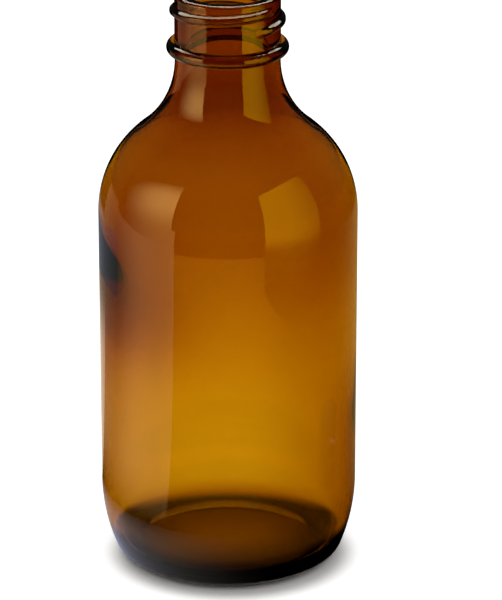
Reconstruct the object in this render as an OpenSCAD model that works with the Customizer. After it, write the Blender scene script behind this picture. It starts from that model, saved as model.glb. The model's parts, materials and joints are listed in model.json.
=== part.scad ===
// Round amber glass reagent bottle with a screw neck. Its ribbed cap is taken off and
// stands open side up on the bench beside it, with the loose sealing liner inside.
// Origin: centre of the bottle's standing ring. +Z is up, sizes are in millimetres.

/* [Bottle body] */
// Outside diameter of the body
body_d = 62; // [52:1:80]
// Height from the bench to the rim
bottle_h = 142; // [115:1:200]
// Thickness of the glass wall
wall = 2.2; // [1.6:0.1:3]
// Radius of the rounded shoulder
shoulder_r = 26.2; // [20:0.1:30]
// Radius of the hollow curve from the shoulder up into the neck
neck_curve_r = 21.6; // [12:0.1:30]

/* [Bottle base] */
// Height at which the heel starts to curve in
heel_h = 19.5; // [12:0.5:26]
// Radius of the long heel curve
heel_r = 44.6; // [34:0.1:70]
// Radius of the corner between the heel and the standing ring
corner_r = 5; // [3:0.5:7]
// Width of the flat ring that the bottle stands on
ring_w = 2.2; // [1:0.1:4]
// Height of the push-up under the middle of the base
push_up_h = 3; // [1.5:0.1:5]
// Thickness of the glass floor
floor_t = 3.2; // [2.5:0.1:5]
// Radius of the inside corner between wall and floor
inside_corner_r = 9; // [6:0.5:11]

/* [Neck and mouth] */
// Outside diameter of the neck below the bead
neck_d = 25; // [24:0.1:27]
// Outside diameter of the screw finish between its threads
land_d = 25.1; // [24.6:0.1:26]
// Diameter over the threads of the screw finish
thread_d = 27.4; // [27:0.1:28.4]
// Bore of the mouth
mouth_d = 18.4; // [15:0.1:19.4]
// Height of the rim above the middle of the bead
finish_h = 13.2; // [11:0.1:18]
// Outside diameter of the bead
bead_d = 29; // [28:0.1:31]
// Height of the bead
bead_h = 3.2; // [2.4:0.1:4]
// Straight length of neck under the bead
neck_straight = 1.4; // [0.5:0.1:20]
// Rounding of the rim's outer edge
rim_outer_r = 0.8; // [0.4:0.1:1.2]
// Rounding of the rim's inner edge
rim_inner_r = 1; // [0.4:0.1:1.4]

/* [Cap] */
// Thickness of the cap's skirt at its grip
cap_wall = 1.85; // [1.5:0.05:3]
// Thickness of the cap's flat top
cap_top = 1.7; // [1.2:0.1:3]
// Clearance of the cap's bore around the neck threads
thread_clearance = 0.25; // [0.1:0.05:0.4]
// Gap left between the closed cap's rim and the bead
bead_gap = 1.2; // [0.5:0.1:3]
// Rounding of the cap's top edge
cap_edge_r = 1.2; // [0.6:0.1:1.6]
// Number of grip grooves round the cap
grooves = 48; // [24:1:60]
// Radius of each grip groove
groove_r = 0.55; // [0.3:0.05:0.7]
// Plain band at the cap's open rim, below the grooves
plain_band_h = 1.4; // [0.8:0.1:3]

/* [Liner] */
// Thickness of the sealing liner
liner_t = 1; // [0.6:0.1:2]
// Gap round the liner inside the cap
liner_clearance = 0.35; // [0.2:0.05:0.45]
// Height of the snap ring that keeps the liner in the cap
snap_h = 1; // [0.95:0.05:1.2]
// Gap between the liner and the snap ring
snap_gap = 0.12; // [0.05:0.01:0.3]

/* [Bench] */
// Clear distance between the bottle and the cap
bench_gap = 41; // [5:1:80]

/* [Hidden] */
$fn = 96;

// degrees turned by each short chord of a curve
arc_step = 5;
// how far a cutting body reaches past the face it cuts
overcut = 1;

// bottle, outside
body_r = body_d / 2;
neck_r = neck_d / 2;
land_r = land_d / 2;
mouth_r = mouth_d / 2;
bead_z = bottle_h - finish_h;
bead_tube_r = bead_h / 2;
bead_mid_r = bead_d / 2 - bead_tube_r;
neck_curve_z = bead_z - bead_tube_r - neck_straight;
shoulder_mid_r = body_r - shoulder_r;
neck_curve_mid_r = neck_r + neck_curve_r;
curves_r = shoulder_r + neck_curve_r;
shoulder_rise = sqrt(pow(curves_r, 2) - pow(neck_curve_mid_r - shoulder_mid_r, 2));
shoulder_z = neck_curve_z - shoulder_rise;
shoulder_end = atan2(shoulder_rise, neck_curve_mid_r - shoulder_mid_r);

// bottle, base outside: the heel and corner arcs are tangent
heel_mid_r = body_r - heel_r;
corner_mid_r = heel_mid_r + sqrt(pow(heel_r - corner_r, 2) - pow(heel_h - corner_r, 2));
corner_end = -asin((heel_h - corner_r) / (heel_r - corner_r));
push_up_r = corner_mid_r - ring_w;

// bottle, inside
bore_curve_r = neck_curve_r + wall;
bore_curve_mid_r = mouth_r + bore_curve_r;
bore_rise = sqrt(pow(curves_r, 2) - pow(bore_curve_mid_r - shoulder_mid_r, 2));
bore_z = shoulder_z + bore_rise;
bore_end = atan2(bore_rise, bore_curve_mid_r - shoulder_mid_r);
inner_heel_r = heel_r - wall;
inner_corner_z = floor_t + inside_corner_r;
inner_corner_mid_r = heel_mid_r
    + sqrt(pow(inner_heel_r - inside_corner_r, 2) - pow(heel_h - inner_corner_z, 2));
inner_corner_end = -asin((heel_h - inner_corner_z) / (inner_heel_r - inside_corner_r));

// cap and liner, standing open side up
cap_bore_r = thread_d / 2 + thread_clearance;
cap_r = cap_bore_r + cap_wall;
cap_x = body_r + bench_gap + cap_r;
liner_r = cap_bore_r - liner_clearance;
liner_top = cap_top + liner_t;
skirt_h = finish_h - bead_tube_r - bead_gap;
cap_h = liner_top + skirt_h;
snap_z = liner_top + snap_gap + snap_h / 2;

// Points along an arc in the profile plane, from one angle to another
function arc(mid_r, mid_z, r, from, to) =
    let (steps = max(2, ceil(abs(to - from) / arc_step)))
    [for (i = [0 : steps])
        let (a = from + (to - from) * i / steps)
        [mid_r + r * cos(a), mid_z + r * sin(a)]];

// Points along a shallow dome of height h over radius r, from its edge up to the axis
function dome(r, edge_z, h) =
    let (ball_r = (r * r + h * h) / (2 * h),
         edge_a = asin(r / ball_r),
         steps = max(4, ceil(edge_a / 2)))
    [for (i = [0 : steps])
        let (a = edge_a * (1 - i / steps))
        [i == steps ? 0 : ball_r * sin(a), edge_z + h - ball_r * (1 - cos(a))]];

// Outside of the glass, from the middle of the base up to the rim
function outside() = concat(
    [for (i = [len(dome(push_up_r, 0, push_up_h)) - 1 : -1 : 0]) dome(push_up_r, 0, push_up_h)[i]],
    arc(corner_mid_r, corner_r, corner_r, -90, corner_end),
    arc(heel_mid_r, heel_h, heel_r, corner_end, 0),
    arc(shoulder_mid_r, shoulder_z, shoulder_r, 0, shoulder_end),
    arc(neck_curve_mid_r, neck_curve_z, neck_curve_r, shoulder_end + 180, 180),
    arc(bead_mid_r, bead_z, bead_tube_r,
        -acos((neck_r - bead_mid_r) / bead_tube_r), acos((land_r - bead_mid_r) / bead_tube_r)),
    arc(land_r - rim_outer_r, bottle_h - rim_outer_r, rim_outer_r, 0, 90)
);

// Inside of the glass, from the rim down to the middle of the floor
function inside() = concat(
    arc(mouth_r + rim_inner_r, bottle_h - rim_inner_r, rim_inner_r, 90, 180),
    arc(bore_curve_mid_r, bore_z, bore_curve_r, 180, bore_end + 180),
    arc(shoulder_mid_r, shoulder_z, shoulder_r - wall, bore_end, 0),
    arc(heel_mid_r, heel_h, inner_heel_r, 0, inner_corner_end),
    arc(inner_corner_mid_r, inner_corner_z, inside_corner_r, inner_corner_end, -90),
    dome(inner_corner_mid_r, floor_t, push_up_h)
);

module bottle() {
    color([0.45, 0.22, 0.04, 0.6])
        rotate_extrude()
            polygon(concat(outside(), inside()));
}

// Solid cap with its top on the bench and a rounded edge round that top
module cap_block() {
    rotate_extrude() {
        translate([0, cap_edge_r])
            square([cap_r, cap_h - cap_edge_r]);
        square([cap_r - cap_edge_r, cap_h]);
        translate([cap_r - cap_edge_r, cap_edge_r])
            circle(r = cap_edge_r);
    }
}

// Hollow of the cap, narrowed by the snap ring that holds the liner
module cap_hollow() {
    rotate_extrude()
        translate([0, cap_top])
            difference() {
                square([cap_bore_r, cap_h - cap_top + overcut]);
                translate([cap_bore_r, snap_z - cap_top])
                    circle(r = snap_h / 2);
            }
}

// Grip grooves that run from the cap's top edge to the plain band
module grip_grooves() {
    for (i = [0 : grooves - 1])
        rotate(i * 360 / grooves)
            translate([cap_r, 0, -overcut])
                cylinder(r = groove_r, h = cap_h - plain_band_h + overcut, $fn = 24);
}

module cap() {
    color([0.08, 0.08, 0.09])
        translate([cap_x, 0, 0])
            difference() {
                cap_block();
                cap_hollow();
                grip_grooves();
            }
}

module cap_liner() {
    color([0.93, 0.92, 0.88])
        translate([cap_x, 0, cap_top])
            cylinder(r = liner_r, h = liner_t);
}

bottle();
cap();
cap_liner();
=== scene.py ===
"""Looks of the amber reagent bottle, its screw cap and liner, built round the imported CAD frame."""
import json
import math

import bpy
import numpy as np
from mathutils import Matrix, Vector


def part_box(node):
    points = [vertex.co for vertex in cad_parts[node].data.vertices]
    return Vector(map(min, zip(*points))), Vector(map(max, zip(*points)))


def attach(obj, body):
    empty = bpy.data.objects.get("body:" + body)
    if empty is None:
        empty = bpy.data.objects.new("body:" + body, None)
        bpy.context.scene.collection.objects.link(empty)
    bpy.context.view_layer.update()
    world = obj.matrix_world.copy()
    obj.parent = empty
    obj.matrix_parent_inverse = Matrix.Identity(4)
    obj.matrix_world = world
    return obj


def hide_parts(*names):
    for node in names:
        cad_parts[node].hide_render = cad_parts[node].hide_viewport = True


MM = 0.001

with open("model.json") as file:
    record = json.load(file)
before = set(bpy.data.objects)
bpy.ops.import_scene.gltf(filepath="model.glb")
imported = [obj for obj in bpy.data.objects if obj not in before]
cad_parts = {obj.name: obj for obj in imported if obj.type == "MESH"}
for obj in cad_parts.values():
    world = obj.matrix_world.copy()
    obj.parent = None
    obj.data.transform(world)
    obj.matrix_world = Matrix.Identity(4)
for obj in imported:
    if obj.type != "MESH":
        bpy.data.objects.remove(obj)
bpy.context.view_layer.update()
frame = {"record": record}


# ---------------------------------------------------------------- sizes from the frame

def mount(name):
    """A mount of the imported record."""
    return next(m for m in frame["record"]["mounts"] if m["name"] == name)


BOTTLE_LOW, BOTTLE_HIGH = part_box("bottle")
CAP_LOW, CAP_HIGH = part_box("cap")
LINER_LOW, LINER_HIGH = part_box("cap_liner")
# where the cap stands, in metres
CAP_X = (CAP_LOW[0] + CAP_HIGH[0]) / 2
# radii and heights in mm, as all sizes of the pieces below
BODY_R = (BOTTLE_HIGH[0] - BOTTLE_LOW[0]) / 2 / MM
BOTTLE_H = BOTTLE_HIGH[2] / MM
MOUTH_R = mount("mouth")["dims"]["r_mm"]
CAP_BORE_R = mount("cap_bore")["dims"]["r_mm"]
CAP_R = (CAP_HIGH[0] - CAP_LOW[0]) / 2 / MM
CAP_H = CAP_HIGH[2] / MM
LINER_R = (LINER_HIGH[0] - LINER_LOW[0]) / 2 / MM
LINER_BOTTOM = LINER_LOW[2] / MM
LINER_TOP = LINER_HIGH[2] / MM

# ---------------------------------------------------------------- bottle

# outside, the same values as in the part's source
SHOULDER_R = 26.2
NECK_CURVE_R = 21.6
HEEL_H = 19.5
HEEL_R = 44.6
CORNER_R = 5.0
RING_W = 2.2
PUSH_UP_H = 3.0
NECK_R = 12.5
LAND_R = 12.55
BEAD_R = 14.5
BEAD_TUBE_R = 1.6
FINISH_H = 13.2
NECK_STRAIGHT = 1.4
RIM_OUTER_R = 0.8
RIM_INNER_R = 1.0

# inside: thickness of the blown wall at heights above the bench, then the floor
WALL_HEIGHTS = (19.5, 29.0, 43.0, 53.0, 65.0, 78.0, 88.0, 97.0, 104.0, 109.0, 113.0, 118.0, 122.0, 126.0)
WALL_SIZES = (1.4, 1.4, 1.45, 1.65, 2.15, 2.6, 2.7, 2.5, 2.35, 2.6, 3.2, 3.9, 3.7, 3.3)
HEEL_WALL = WALL_SIZES[0]
FLOOR_T = 2.8
FLOOR_RISE = 3.0
INSIDE_CORNER_R = 6.5
# the listed wall sizes are smoothed over neighbouring levels
LEVEL_LOW = 10.0
LEVEL_HIGH = 135.0
LEVEL_STEP = 0.5
SMOOTH_REACH = 12
SMOOTH_WIDTH = 5.0
# gaps in height at the moved stretch of wall: over the heel, under the end of the neck curve and
# under the straight line of the bore
HEEL_GAP = 0.5
CURVE_GAP = 0.2
BORE_GAP = 0.4

# unevenness of the wall: thinner sides of the body and the neck and a thicker foot at the right,
# each with the heights between which it comes in or goes out, and a thick place at the left, with
# its height, its reach above and below that, and its angle in degrees from the front towards +X
BODY_THIN = 1.1
BODY_THIN_IN_RIGHT = (30.0, 74.0)
BODY_THIN_IN_LEFT = (50.0, 70.0)
BODY_THIN_OUT = (118.0, 98.0)
NECK_THIN = 1.35
NECK_THIN_IN = (98.0, 112.0)
NECK_THIN_OUT = (134.0, 120.0)
FOOT_THICK = 0.35
FOOT_THICK_OUT = (70.0, 34.0)
LUMP = 2.6
LUMP_Z = 70.0
LUMP_ABOVE = 11.0
LUMP_BELOW = 12.0
LUMP_TURN = -80.0

# screw thread of the neck: 6 threads per inch, right-handed. Its angles are in degrees from the
# front towards +X, and the last height is where it passes the front again, at 360 degrees
PITCH = 25.4 / 6
THREAD_R = 13.7
THREAD_HALF_W = 0.95
THREAD_START = 28.0
THREAD_END = 422.0
THREAD_FADE = 26.0
THREAD_Z_FRONT = 138.8

# steps round the bottle: round to the eye, and few enough for its mesh to be exported whole
BOTTLE_STEPS = 224
DOME_POINTS = 18

# ---------------------------------------------------------------- cap and liner, open side up

GROOVES = 48
STEPS_PER_GROOVE = 12
GROOVE_DEPTH = 0.5
GROOVE_HALF_W = 0.5
GROOVE_END = 0.5
PLAIN_BAND_H = 1.4
CAP_EDGE_R = 1.2
RECESS_R = 11.2
RECESS_DEPTH = 0.25
RECESS_EDGE_W = 0.6
LIP_OUTER_R = 0.4
LIP_INNER_R = 0.35
LIP_INNER_W = 0.55
LEAD_IN_H = 0.9
SNAP_R = 0.5
SNAP_GAP = 0.12
SNAP_Z = LINER_TOP + SNAP_GAP + SNAP_R
# the bore's fine rows end a hair above the snap ring
BORE_ROWS_GAP = 0.05
CAP_THREAD_R = 13.0
CAP_THREAD_HALF_W = 0.8
CAP_THREAD_Z = 5.3
CAP_THREAD_TURN = 520.0
CAP_THREAD_FADE = 30.0
# the liner lies a hair above the cap's inside, so that the two faces aren't in one plane
CAP_FLOOR_Z = LINER_BOTTOM - 0.03
CAP_FLOOR_CORNER = 0.3
# ring that the bottle's rim has pressed into the liner
PRINT_R = 11.0
PRINT_HALF_W = 0.9
PRINT_DEPTH = 0.12
# cut edges of the liner: the lower one is a bevel, the upper one has a middle point
LOW_EDGE = 0.1
TOP_EDGE = 0.15
TOP_EDGE_IN = 0.04
TOP_EDGE_DOWN = 0.05
TOP_POINTS = 46
LINER_STEPS = 144


# ---------------------------------------------------------------- shapes

def arc(mid_r, mid_z, r, start, end, step):
    """Points along an arc of the profile, angles in degrees."""
    count = max(2, math.ceil(abs(end - start) / step))
    angles = np.radians(np.linspace(start, end, count + 1))
    return [(mid_r + r * math.cos(a), mid_z + r * math.sin(a)) for a in angles]


def line(start, end, step):
    """Points along a straight stretch of the profile, without its two ends."""
    count = max(1, math.ceil(math.dist(start, end) / step))
    return [tuple(np.array(start) + (np.array(end) - np.array(start)) * i / count)
            for i in range(1, count)]


def dome(radius, edge_z, rise_h):
    """Points of a shallow round dome, from its middle on the axis down to its edge."""
    ball = (radius ** 2 + rise_h ** 2) / (2 * rise_h)
    return [(radius * t, edge_z + rise_h - ball + math.sqrt(ball ** 2 - (radius * t) ** 2))
            for t in np.linspace(0, 1, DOME_POINTS)]


def rise(x, start, end):
    """A smooth rise from 0 at start to 1 at end, which may lie on either side of start."""
    t = np.clip((x - start) / (end - start), 0, 1)
    return t * t * (3 - 2 * t)


def ridge(off, half_width):
    """Height from 0 to 1 of a flat-topped ridge at a distance from its middle."""
    return np.exp(-(np.abs(off) / half_width) ** 4)


def thread(angle, z, front_z, start, end, fade, half_width):
    """Height from 0 to 1 of a single-start screw thread at a point. It rises with the angle from
    front_z at the front, runs between two angles and fades in and out at its ends."""
    height = np.zeros_like(z)
    for lap in (0, 360):
        along = np.degrees(angle) + lap
        ends = rise(along, start, start + fade) * rise(along, end, end - fade)
        middle = front_z + PITCH * along / 360
        height = np.maximum(height, ends * ridge(z - middle, half_width))
    return height


def mesh_object(name, verts, faces, smooth=True):
    """A new object from points in metres and faces."""
    mesh = bpy.data.meshes.new(name)
    mesh.from_pydata([tuple(map(float, v)) for v in verts], [], faces)
    mesh.validate()
    mesh.update()
    if smooth:
        mesh.polygons.foreach_set("use_smooth", [True] * len(mesh.polygons))
    obj = bpy.data.objects.new(name, mesh)
    bpy.context.scene.collection.objects.link(obj)
    return obj


def lathe(name, profile, steps, shape=None, mid_x=0.0):
    """A closed body turned from a profile in mm that starts and ends on the axis.
    shape(angle, r, z, row) may give every point another radius."""
    profile = np.array(profile, float)
    inner = profile[1:-1]
    angles = np.linspace(0, 2 * np.pi, steps, endpoint=False)
    ang, index = np.meshgrid(angles, np.arange(len(inner)), indexing="ij")
    r = inner[index, 0]
    z = inner[index, 1]
    if shape:
        r = shape(ang, r, z, index + 1)
    ring = np.stack([r * np.sin(ang), -r * np.cos(ang), z], axis=-1).reshape(-1, 3)
    verts = np.vstack([ring, [0, 0, profile[0, 1]], [0, 0, profile[-1, 1]]]) * MM
    verts[:, 0] += mid_x
    rows = len(inner)
    first, last = steps * rows, steps * rows + 1
    faces = []
    for i in range(steps):
        a, b = i * rows, (i + 1) % steps * rows
        faces.append((first, b, a))
        faces += [(a + j, b + j, b + j + 1, a + j + 1) for j in range(rows - 1)]
        faces.append((last, a + rows - 1, b + rows - 1))
    return mesh_object(name, verts, faces)


# ---------------------------------------------------------------- shader nodes

def feed(tree, value, socket):
    """Give a socket a constant or another node's output."""
    if isinstance(value, bpy.types.NodeSocket):
        tree.links.new(value, socket)
    else:
        socket.default_value = value


def math_node(tree, operation, first, second, clamp=False):
    """Two values worked into one: the result's socket."""
    node = tree.nodes.new("ShaderNodeMath")
    node.operation = operation
    node.use_clamp = clamp
    feed(tree, first, node.inputs[0])
    feed(tree, second, node.inputs[1])
    return node.outputs[0]


def map_range(tree, value, start, end, low, high, interpolation="LINEAR"):
    """A value mapped from one range to another: the result's socket."""
    node = tree.nodes.new("ShaderNodeMapRange")
    node.interpolation_type = interpolation
    for name, given in (("Value", value), ("From Min", start), ("From Max", end),
                        ("To Min", low), ("To Max", high)):
        feed(tree, given, node.inputs[name])
    return node.outputs["Result"]


def value_blend(tree, factor, first, second):
    """Two values mixed by a factor: the result's socket."""
    node = tree.nodes.new("ShaderNodeMix")
    for name, given in (("Factor", factor), ("A", first), ("B", second)):
        feed(tree, given, node.inputs[name])
    return node.outputs["Result"]


def colour_blend(tree, factor, first, second):
    """Two colours, or a colour and a grey value, mixed by a factor: the mixed colour's socket."""
    node = tree.nodes.new("ShaderNodeMix")
    node.data_type = "RGBA"
    tree.links.new(factor, node.inputs["Factor"])
    # the mix node's colour inputs are 6 and 7, and its colour output is 2
    for index, given in ((6, first), (7, second)):
        feed(tree, (*given, 1) if isinstance(given, tuple) else given, node.inputs[index])
    return node.outputs[2]


def new_material(name):
    """An empty node material, its tree and its Principled shader."""
    mat = bpy.data.materials.new(name)
    mat.use_nodes = True
    return mat, mat.node_tree, mat.node_tree.nodes["Principled BSDF"]


# ---------------------------------------------------------------- glass bottle

# absorption of the glass per metre, which is the node's density times (1 - colour): blue is
# absorbed most, and so it sets the density
ABSORBED_RED = 300.0
ABSORBED_GREEN = 610.0
ABSORBED_BLUE = 2600.0
# warm tint of what the glass reflects head-on
GLASS_GLEAM = (1.0, 0.8, 0.4, 1)


def amber_glass():
    """Clear amber glass: a clean surface, with the colour in its depth."""
    mat, tree, shader = new_material("amber_glass")
    shader.inputs["Base Color"].default_value = (1, 1, 1, 1)
    shader.inputs["Specular Tint"].default_value = GLASS_GLEAM
    shader.inputs["Transmission Weight"].default_value = 1
    shader.inputs["IOR"].default_value = 1.52
    shader.inputs["Roughness"].default_value = 0.0
    absorb = tree.nodes.new("ShaderNodeVolumeAbsorption")
    absorb.inputs["Color"].default_value = (1 - ABSORBED_RED / ABSORBED_BLUE,
                                            1 - ABSORBED_GREEN / ABSORBED_BLUE, 0.0, 1)
    absorb.inputs["Density"].default_value = ABSORBED_BLUE
    tree.links.new(absorb.outputs["Volume"], tree.nodes["Material Output"].inputs["Volume"])
    return mat


def bottle_outside():
    """Outside profile from the middle of the base up to the rim, and the height of the neck
    curve's upper end."""
    neck_mid = NECK_R + NECK_CURVE_R
    bead_z = BOTTLE_H - FINISH_H
    curve_z = bead_z - BEAD_TUBE_R - NECK_STRAIGHT
    shoulder_mid = BODY_R - SHOULDER_R
    curves_h = math.sqrt((SHOULDER_R + NECK_CURVE_R) ** 2 - (neck_mid - shoulder_mid) ** 2)
    shoulder_z = curve_z - curves_h
    shoulder_end = math.degrees(math.atan2(curves_h, neck_mid - shoulder_mid))
    heel_mid = BODY_R - HEEL_R
    corner_mid = heel_mid + math.sqrt((HEEL_R - CORNER_R) ** 2 - (HEEL_H - CORNER_R) ** 2)
    corner_end = -math.degrees(math.asin((HEEL_H - CORNER_R) / (HEEL_R - CORNER_R)))
    bead_mid = BEAD_R - BEAD_TUBE_R
    bead_from = -math.degrees(math.acos((NECK_R - bead_mid) / BEAD_TUBE_R))
    bead_to = math.degrees(math.acos((LAND_R - bead_mid) / BEAD_TUBE_R))
    land_top = BOTTLE_H - RIM_OUTER_R
    points = dome(corner_mid - RING_W, 0.0, PUSH_UP_H) + [(corner_mid, 0.0)]
    points += arc(corner_mid, CORNER_R, CORNER_R, -90, corner_end, step=4)[1:]
    points += arc(heel_mid, HEEL_H, HEEL_R, corner_end, 0, step=1.5)[1:]
    points += line((BODY_R, HEEL_H), (BODY_R, shoulder_z), step=2.0)
    points += arc(shoulder_mid, shoulder_z, SHOULDER_R, 0, shoulder_end, step=2.2)
    points += arc(neck_mid, curve_z, NECK_CURVE_R, shoulder_end + 180, 180, step=2.2)[1:]
    points += line((NECK_R, curve_z), (NECK_R, curve_z + NECK_STRAIGHT), step=0.4)
    points += arc(bead_mid, bead_z, BEAD_TUBE_R, bead_from, bead_to, step=6)
    points += line((LAND_R, points[-1][1]), (LAND_R, land_top), step=0.12)
    points += arc(LAND_R - RIM_OUTER_R, land_top, RIM_OUTER_R, 0, 90, step=8)
    return points, curve_z


def wall_sizes(heights):
    """Thickness of the wall at heights above the bench: the listed sizes, smoothed."""
    levels = np.arange(LEVEL_LOW, LEVEL_HIGH, LEVEL_STEP)
    weights = np.exp(-(np.arange(-SMOOTH_REACH, SMOOTH_REACH + 1) / SMOOTH_WIDTH) ** 2)
    listed = np.pad(np.interp(levels, WALL_HEIGHTS, WALL_SIZES), SMOOTH_REACH, "edge")
    return np.interp(heights, levels, np.convolve(listed, weights / weights.sum(), "valid"))


def bottle_inside(outside, curve_z):
    """Inside profile from the rim down to the middle of the floor: the outside of body, shoulder
    and neck moved in by the wall, between the mouth's bore and the rounded floor."""
    heel_mid = BODY_R - HEEL_R
    heel_r = HEEL_R - HEEL_WALL
    corner_z = FLOOR_T + INSIDE_CORNER_R
    corner_mid = heel_mid + math.sqrt((heel_r - INSIDE_CORNER_R) ** 2 - (HEEL_H - corner_z) ** 2)
    corner_end = -math.degrees(math.asin((HEEL_H - corner_z) / (heel_r - INSIDE_CORNER_R)))
    body = np.array([p for p in outside if HEEL_H + HEEL_GAP < p[1] < curve_z - CURVE_GAP])
    slope = np.gradient(body, axis=0)
    slope /= np.linalg.norm(slope, axis=1)[:, None]
    inward = np.stack([-slope[:, 1], slope[:, 0]], axis=1)
    moved = body + inward * wall_sizes(body[:, 1])[:, None]
    bore_top = BOTTLE_H - RIM_INNER_R
    points = arc(MOUTH_R + RIM_INNER_R, bore_top, RIM_INNER_R, 90, 180, step=8)
    points += line((MOUTH_R, bore_top), (MOUTH_R, moved[-1][1] + BORE_GAP), step=0.8)
    points += [tuple(p) for p in moved[::-1]]
    points += arc(heel_mid, HEEL_H, heel_r, 0, corner_end, step=1.5)
    points += arc(corner_mid, corner_z, INSIDE_CORNER_R, corner_end, -90, step=4)[1:]
    points += dome(corner_mid, FLOOR_T, FLOOR_RISE)[-2::-1]
    return points


def wall_change(angle, z):
    """How much thicker than its profile the blown wall is at a point inside, in mm. The powers
    keep each change to its own side: sin is 1 at the right, -1 at the left and 0 in front."""
    side = np.sin(angle)
    thin_in = np.where(side > 0, rise(z, *BODY_THIN_IN_RIGHT), rise(z, *BODY_THIN_IN_LEFT))
    thin = BODY_THIN * side ** 6 * thin_in * rise(z, *BODY_THIN_OUT)
    thin = thin + NECK_THIN * side ** 4 * rise(z, *NECK_THIN_IN) * rise(z, *NECK_THIN_OUT)
    foot = FOOT_THICK * np.clip(side, 0, 1) ** 2 * rise(z, *FOOT_THICK_OUT)
    lump = LUMP * np.exp(-((z - LUMP_Z) / np.where(z > LUMP_Z, LUMP_ABOVE, LUMP_BELOW)) ** 2)
    lump = lump * np.clip(np.cos(angle - math.radians(LUMP_TURN)), 0, 1) ** 2.5
    return lump + foot - thin


def make_bottle():
    """The blown glass bottle: one closed two-sided wall."""
    outside, curve_z = bottle_outside()
    inside = bottle_inside(outside, curve_z)
    land_low = BOTTLE_H - FINISH_H + BEAD_TUBE_R

    def shape(angle, r, z, row):
        is_outside = row < len(outside)
        crest = thread(angle, z, THREAD_Z_FRONT - PITCH, THREAD_START, THREAD_END, THREAD_FADE,
                       THREAD_HALF_W) * (THREAD_R - LAND_R)
        r = r + np.where(is_outside & (z > land_low), crest, 0)
        return r - np.where(is_outside, 0, wall_change(angle, z))

    obj = lathe("glass_bottle", outside + inside, BOTTLE_STEPS, shape)
    obj.data.materials.append(amber_glass())
    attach(obj, "bottle")
    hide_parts("bottle")


# ---------------------------------------------------------------- cap and liner

# most of the noise lies between these values
NOISE_LOW = 0.3
NOISE_HIGH = 0.7


def surface_noise(tree, scale, detail, low=0.0, high=1.0):
    """Noise in the object's own space, mapped to a range: its value's socket."""
    place = tree.nodes.new("ShaderNodeTexCoord")
    noise = tree.nodes.new("ShaderNodeTexNoise")
    noise.inputs["Scale"].default_value = scale
    noise.inputs["Detail"].default_value = detail
    tree.links.new(place.outputs["Object"], noise.inputs["Vector"])
    return map_range(tree, noise.outputs["Fac"], NOISE_LOW, NOISE_HIGH, low, high)


def bumped(tree, shader, height, strength, distance):
    """Bump of a height value on the shader."""
    bump = tree.nodes.new("ShaderNodeBump")
    bump.inputs["Strength"].default_value = strength
    bump.inputs["Distance"].default_value = distance
    tree.links.new(height, bump.inputs["Height"])
    tree.links.new(bump.outputs["Normal"], shader.inputs["Normal"])


def black_plastic():
    """Moulded black plastic: fine spark-eroded grain, with faint scuffs that change its gloss."""
    mat, tree, shader = new_material("black_plastic")
    shader.inputs["Specular IOR Level"].default_value = 0.3
    stain = surface_noise(tree, scale=900, detail=6)
    tone = colour_blend(tree, stain, (0.010, 0.010, 0.011), (0.022, 0.022, 0.023))
    tree.links.new(tone, shader.inputs["Base Color"])
    scuffs = surface_noise(tree, scale=260, detail=5, low=0.3, high=0.46)
    tree.links.new(scuffs, shader.inputs["Roughness"])
    bumped(tree, shader, surface_noise(tree, scale=5200, detail=2), strength=0.35, distance=0.00004)
    return mat


def foam_white():
    """Off-white polyethylene foam: tiny closed cells and slightly uneven colour."""
    mat, tree, shader = new_material("liner_foam")
    stain = surface_noise(tree, scale=420, detail=5)
    tone = colour_blend(tree, stain, (0.70, 0.69, 0.64), (0.82, 0.81, 0.77))
    tree.links.new(tone, shader.inputs["Base Color"])
    gloss = surface_noise(tree, scale=1500, detail=3, low=0.5, high=0.68)
    tree.links.new(gloss, shader.inputs["Roughness"])
    place = tree.nodes.new("ShaderNodeTexCoord")
    cells = tree.nodes.new("ShaderNodeTexVoronoi")
    cells.inputs["Scale"].default_value = 2600
    tree.links.new(place.outputs["Object"], cells.inputs["Vector"])
    bumped(tree, shader, cells.outputs["Distance"], strength=0.5, distance=0.00008)
    return mat


def cap_profile():
    """Profile of the cap from the middle of its top, on the bench, round to the middle of its
    inside, and the rows between which its threaded bore lies."""
    bore_top = CAP_H - LEAD_IN_H
    snap_top = SNAP_Z + SNAP_R
    points = [(0.0, RECESS_DEPTH)]
    points += line((0.0, RECESS_DEPTH), (RECESS_R, RECESS_DEPTH), step=2.8)
    points += [(RECESS_R + RECESS_EDGE_W * across, RECESS_DEPTH * share)
               for across, share in ((0, 1), (1 / 3, 0.8), (2 / 3, 0.2), (1, 0))]
    points += line(points[-1], (CAP_R - CAP_EDGE_R, 0.0), step=1.0)
    points += arc(CAP_R - CAP_EDGE_R, CAP_EDGE_R, CAP_EDGE_R, -90, 0, step=9)
    points += line((CAP_R, CAP_EDGE_R), (CAP_R, CAP_H - LIP_OUTER_R), step=0.25)
    points += arc(CAP_R - LIP_OUTER_R, CAP_H - LIP_OUTER_R, LIP_OUTER_R, 0, 90, step=15)
    points += arc(CAP_BORE_R + LIP_INNER_W, CAP_H - LIP_INNER_R, LIP_INNER_R, 90, 150, step=15)
    bore_start = len(points)
    points += line(points[-1], (CAP_BORE_R, bore_top), step=0.1) + [(CAP_BORE_R, bore_top)]
    points += line((CAP_BORE_R, bore_top), (CAP_BORE_R, snap_top + BORE_ROWS_GAP), step=0.15)
    bore_end = len(points)
    points += arc(CAP_BORE_R, SNAP_Z, SNAP_R, 90, 270, step=15)
    points += [(CAP_BORE_R, CAP_FLOOR_Z + CAP_FLOOR_CORNER),
               (CAP_BORE_R - CAP_FLOOR_CORNER / 2, CAP_FLOOR_Z + CAP_FLOOR_CORNER / 6),
               (CAP_BORE_R - CAP_FLOOR_CORNER, CAP_FLOOR_Z)]
    points += line(points[-1], (0.0, CAP_FLOOR_Z), step=3.0) + [(0.0, CAP_FLOOR_Z)]
    return points, bore_start, bore_end


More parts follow.
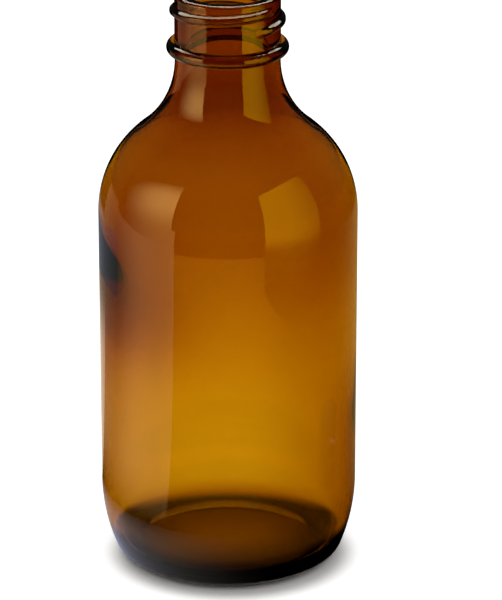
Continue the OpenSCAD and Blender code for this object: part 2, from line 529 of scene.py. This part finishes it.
def make_cap():
    """The ribbed screw cap with its inside thread and snap ring."""
    profile, bore_start, bore_end = cap_profile()
    grip_top = CAP_H - PLAIN_BAND_H

    def groove_depth(angle, r, z):
        turns = angle * GROOVES / (2 * math.pi)
        off = np.abs(turns - np.round(turns)) * 2 * math.pi * CAP_R / GROOVES
        depth = GROOVE_DEPTH * ridge(off, GROOVE_HALF_W)
        return depth * rise(z, grip_top + GROOVE_END, grip_top) * rise(r, CAP_R - CAP_EDGE_R, CAP_R)

    def shape(angle, r, z, row):
        in_bore = (row >= bore_start) & (row < bore_end)
        crest = thread(angle, z, CAP_THREAD_Z, 0, CAP_THREAD_TURN, CAP_THREAD_FADE,
                       CAP_THREAD_HALF_W) * (CAP_BORE_R - CAP_THREAD_R)
        return r - groove_depth(angle, r, z) - np.where(in_bore, crest, 0)

    obj = lathe("screw_cap", profile, GROOVES * STEPS_PER_GROOVE, shape, CAP_X)
    obj.data.materials.append(black_plastic())
    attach(obj, "cap")
    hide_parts("cap")


def make_liner():
    """The sealing liner: a foam disc with the ring that the bottle's rim has pressed into it."""
    top = [(t, LINER_TOP - PRINT_DEPTH * ridge(t - PRINT_R, PRINT_HALF_W))
           for t in np.linspace(0, LINER_R - TOP_EDGE, TOP_POINTS)]
    middle = (0.0, LINER_BOTTOM)
    edge = (LINER_R - LOW_EDGE, LINER_BOTTOM)
    profile = [middle] + line(middle, edge, step=2.5) + [edge, (LINER_R, LINER_BOTTOM + LOW_EDGE)]
    profile += [(LINER_R, LINER_TOP - TOP_EDGE), (LINER_R - TOP_EDGE_IN, LINER_TOP - TOP_EDGE_DOWN)]
    profile += top[::-1]
    obj = lathe("sealing_liner", profile, LINER_STEPS, mid_x=CAP_X)
    obj.data.materials.append(foam_white())
    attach(obj, "liner")
    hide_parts("cap_liner")


# ---------------------------------------------------------------- stage, in metres

# places that distances are measured from, each as a scale and a shift of the position: the painted
# contact shadow as the camera sees it and as it is seen through the glass, both a little in front
# of the axis and wider than deep, then the painted light under the base, behind the axis, and the origin
FLOOR_PLACES = {"shadow": ((0.95, 1, 0), (-0.0007, 0.0037, 0)),
                "through": ((0.88, 1, 0), (0, 0.0035, 0)),
                "under": ((1, 1, 0), (0, -0.012, 0)),
                "away": ((1, 1, 1), (0, 0, 0))}
# distances between which the floor goes from dark to pale: at the end of either painted shadow, in
# the painted light under the base and at the inside of the standing ring
SHADOW_END = (0.024, 0.0305)
PAINTED_SHADOW_THROUGH_END = (0.0283, 0.0345)
UNDER_LIGHT = (0.028, 0.007)
INSIDE_RING = (0.0213, 0.0206)
FLOOR_TONE = (0.95, 0.95, 0.95)
# glow that keeps the floor white for the camera, in reflections and through glass; it is left out in the
# painted shadows and given back under the base as painted light
FLOOR_GLOW = 0.55
FLOOR_HALF = 3.0
# strength of the world as light, and as the camera and the glass see it
WORLD_LIGHT = 0.8
WORLD_SEEN = 0.02
# the bench cards begin just outside the bottle's foot and lie in layers over the floor
FOOT = 0.0275
DARK_Z = 0.0008
BENCH_Z = 0.001
NEAR_Z = 0.0012
SHADE_Z = 0.0013
OVERHEAD_Z = 1.3
# the drum of the backdrop
DRUM_SIDES = 36
DRUM_R = 2.8
DRUM_LOW = 0.4
DRUM_HIGH = 3.0


def at(azimuth, away, height=0.0):
    """A point of the stage: the azimuth runs from the front towards +X."""
    turn = math.radians(azimuth)
    return (away * math.sin(turn), -away * math.cos(turn), height)


def upright(azimuth, away, start, end, top):
    """Corners of an upright card square to an azimuth, from one side distance to another."""
    mid = np.array(at(azimuth, away))
    side = np.array(at(azimuth + 90, 1.0))
    return [mid + side * start, mid + side * end,
            mid + side * end + (0, 0, top), mid + side * start + (0, 0, top)]


def sector(start, end, near, far, z):
    """Corners of a flat ring sector on the bench between two azimuths."""
    angles = np.linspace(start, end, 31)
    return [at(a, near, z) for a in angles] + [at(a, far, z) for a in angles[::-1]]


def place_ramp(tree, kind, start, end, low=0.0, high=1.0):
    """A value that goes smoothly from low to high between two heights ("height"), two azimuths in
    degrees ("turn") or two distances from one of FLOOR_PLACES: its socket."""
    place = tree.nodes.new("ShaderNodeNewGeometry").outputs["Position"]
    split = tree.nodes.new("ShaderNodeSeparateXYZ")
    tree.links.new(place, split.inputs[0])
    value = split.outputs["Z"]
    if kind == "turn":
        front = math_node(tree, "MULTIPLY", split.outputs["Y"], -1)
        value = math_node(tree, "ARCTAN2", split.outputs["X"], front)
        start, end = math.radians(start), math.radians(end)
    if kind in FLOOR_PLACES:
        move = tree.nodes.new("ShaderNodeVectorMath")
        move.operation = "MULTIPLY_ADD"
        move.inputs[1].default_value, move.inputs[2].default_value = FLOOR_PLACES[kind]
        length = tree.nodes.new("ShaderNodeVectorMath")
        length.operation = "LENGTH"
        tree.links.new(place, move.inputs[0])
        tree.links.new(move.outputs[0], length.inputs[0])
        value = length.outputs["Value"]
    return map_range(tree, value, start, end, low, high, "SMOOTHSTEP")


def background_mix(tree, seen, lit):
    """seen for camera, glossy and transmission rays, lit for the rest: the mixed value's socket."""
    path = tree.nodes.new("ShaderNodeLightPath").outputs
    direct = math_node(tree, "ADD", path["Is Camera Ray"], path["Is Glossy Ray"])
    is_seen = math_node(tree, "ADD", direct, path["Is Transmission Ray"], clamp=True)
    return map_range(tree, is_seen, 0.0, 1.0, lit, seen)


def only_seen(tree, value):
    """A value that is kept for what the camera sees, also by way of glass, and is 0 for light
    that falls on the floor."""
    path = tree.nodes.new("ShaderNodeLightPath").outputs
    no_bounce = math_node(tree, "LESS_THAN", path["Diffuse Depth"], 0.5)
    return math_node(tree, "MULTIPLY", no_bounce, value)


def light_card(name, verts, colour, ramps=(), through=False, faces=None):
    """A studio card that is only seen in reflections, or only through the glass. Each ramp
    (kind, start, end, low) lets it grow from low to full strength."""
    obj = mesh_object(name, verts, faces or [tuple(range(len(verts)))], smooth=False)
    mat, tree, shader = new_material(name)
    tree.nodes.remove(shader)
    glow = tree.nodes.new("ShaderNodeEmission")
    glow.inputs["Color"].default_value = (*colour, 1)
    tree.links.new(glow.outputs[0], tree.nodes["Material Output"].inputs["Surface"])
    strength = 1.0
    for ramp in ramps:
        strength = math_node(tree, "MULTIPLY", strength, place_ramp(tree, *ramp))
    feed(tree, only_seen(tree, strength) if through else strength, glow.inputs["Strength"])
    obj.data.materials.append(mat)
    obj.visible_camera = False
    obj.visible_diffuse = False
    obj.visible_glossy = not through
    obj.visible_transmission = through
    obj.visible_volume_scatter = False
    obj.visible_shadow = False


def floor_material():
    """Pale matt floor: white to the camera, in reflections and through glass. Its real soft
    shadow is deepened by a painted shadow near the base, in its glow and, seen through glass, in its
    colour, and under the base a painted pool of light makes it pale again in the middle."""
    mat, tree, shader = new_material("pale_floor")
    shader.inputs["Roughness"].default_value = 1.0
    shader.inputs["Specular IOR Level"].default_value = 0.0
    shader.inputs["Emission Color"].default_value = (1, 1, 1, 1)
    by_glass = tree.nodes.new("ShaderNodeLightPath").outputs["Is Transmission Ray"]
    through = place_ramp(tree, "through", *PAINTED_SHADOW_THROUGH_END)
    # seen through glass, the floor's colour is darkened near the base: a painted shadow
    tree.links.new(colour_blend(tree, by_glass, FLOOR_TONE, through), shader.inputs["Base Color"])
    # the glow is left out near the base: a painted contact shadow, one for the camera and reflections
    # and a wider one through glass
    painted_shadow_glow = value_blend(tree, by_glass, place_ramp(tree, "shadow", *SHADOW_END), through)
    # glow inside the standing ring, strongest behind the axis: painted light under the base
    under = place_ramp(tree, "away", *INSIDE_RING, high=place_ramp(tree, "under", *UNDER_LIGHT))
    pale = math_node(tree, "ADD", painted_shadow_glow, under)
    glow = math_node(tree, "MULTIPLY", background_mix(tree, FLOOR_GLOW, 0.0), pale)
    tree.links.new(only_seen(tree, glow), shader.inputs["Emission Strength"])
    return mat


def make_floor():
    """The floor, which takes the real shadow and carries a painted one."""
    corners = [(-FLOOR_HALF, -FLOOR_HALF, 0), (FLOOR_HALF, -FLOOR_HALF, 0),
               (FLOOR_HALF, FLOOR_HALF, 0), (-FLOOR_HALF, FLOOR_HALF, 0)]
    floor = mesh_object("floor", corners, [(0, 1, 2, 3)], smooth=False)
    floor.data.materials.append(floor_material())


def make_bench_cards():
    """The bench as the glass reflects it: dark, with its bright and shaded parts."""
    for start in (-180, 0):
        light_card("dark_bench", sector(start, start + 180, FOOT, 4.5, DARK_Z), (0, 0, 0))
    light_card("front_bench", sector(-46, 80, FOOT, 0.265, BENCH_Z), (1.3, 0.75, 0.04),
               [("away", 0.073, 0.113, 0.0), ("turn", 65, 10, 0.1)])
    light_card("left_bench", sector(-135, -46, FOOT, 3.0, BENCH_Z), (2.0, 1.4, 0.8),
               [("turn", -112, -72, 0.2), ("away", 0.055, 0.1, 0.0)])
    light_card("left_back_bench", sector(-180, -135, FOOT, 3.0, BENCH_Z), (0.95, 0.82, 0.62),
               [("away", 0.36, 0.28, 0.0), ("away", 0.2, 0.14, 0.38)])
    light_card("left_shade", sector(-180, -109, 0.2, 0.262, SHADE_Z), (0.2, 0.22, 0.26))
    light_card("right_back_bench", sector(100, 180, FOOT, 3.0, BENCH_Z), (0.3, 0.19, 0.06),
               [("away", 0.36, 0.28, 0.0), ("turn", 100, 150, 0.0)])
    light_card("near_bench", sector(-95, 20, FOOT, 0.055, NEAR_Z), (0.5, 0.53, 0.72),
               [("turn", 20, -60, 0.02), ("away", 0.055, 0.042, 0.3)])
    light_card("near_left_bench", sector(-180, -95, FOOT, 0.055, NEAR_Z), (0.5, 0.43, 0.4),
               [("away", 0.055, 0.042, 0.3)])


def make_softboxes():
    """The softboxes that give the patches of light on the shoulder, the strips on the neck and
    the lines along bead, threads and rim."""
    light_card("left_softbox", upright(-38, 0.3, -0.053, -1.05, 0.345), (5.2, 3.9, 2.0),
               [("height", 0.06, 0.21, 0.35), ("height", 0.38, 0.24, 0.0), ("turn", -108, -62, 0.0)])
    light_card("right_softbox", upright(60, 0.2, -0.115, 0.08, 0.25), (3.1, 2.2, 0.06),
               [("height", 0.0, 0.075, 0.0), ("turn", 101, 48, 0.0)])
    corners = ((-0.15, 0.0), (0.15, 0.0), (1.2, 0.9), (1.2, 1.8), (-1.2, 1.8), (-1.2, 0.9))
    light_card("overhead_softbox", [(x, y, OVERHEAD_Z) for x, y in corners], (5.0, 5.0, 5.0))


def make_backdrop():
    """The pale room that is seen through the glass above the floor: a drum with a lid."""
    sides = DRUM_SIDES
    rims = [at(360 / sides * i - 180, DRUM_R, z) for z in (DRUM_LOW, DRUM_HIGH) for i in range(sides)]
    faces = [(i, (i + 1) % sides, sides + (i + 1) % sides, sides + i) for i in range(sides)]
    faces.append(tuple(range(sides, 2 * sides)))
    light_card("backdrop", rims, (0.6, 0.6, 0.6), [("height", 1.0, 2.4, 0.0)], through=True, faces=faces)


def make_world():
    """Even soft light, which is dark itself where the glass would show it."""
    world = bpy.data.worlds.new("studio")
    bpy.context.scene.world = world
    world.use_nodes = True
    background = world.node_tree.nodes["Background"]
    background.inputs["Color"].default_value = (1, 1, 1, 1)
    strength = background_mix(world.node_tree, WORLD_SEEN, WORLD_LIGHT)
    world.node_tree.links.new(strength, background.inputs["Strength"])


# ---------------------------------------------------------------- camera

CAMERA_AWAY = 0.883
CAMERA_UP = 0.406
# degrees that the camera looks down, and to the right
CAMERA_DOWN = 21.13
CAMERA_TURN = 0.356
LENS = 235.7


def make_camera():
    """The camera at the viewing angle of the product picture."""
    data = bpy.data.cameras.new("camera")
    data.lens = LENS
    data.sensor_width = 36
    data.clip_end = 20
    obj = bpy.data.objects.new("camera", data)
    obj.location = (0, -CAMERA_AWAY, CAMERA_UP)
    obj.rotation_euler = (math.radians(90 - CAMERA_DOWN), 0, math.radians(-CAMERA_TURN))
    bpy.context.scene.collection.objects.link(obj)
    bpy.context.scene.camera = obj


make_camera()
make_bottle()
make_cap()
make_liner()
make_floor()
make_bench_cards()
make_softboxes()
make_backdrop()
make_world()

scene = bpy.context.scene
scene.view_settings.view_transform = "Standard"
scene.cycles.transmission_bounces = 24
scene.cycles.glossy_bounces = 24
scene.cycles.max_bounces = 32
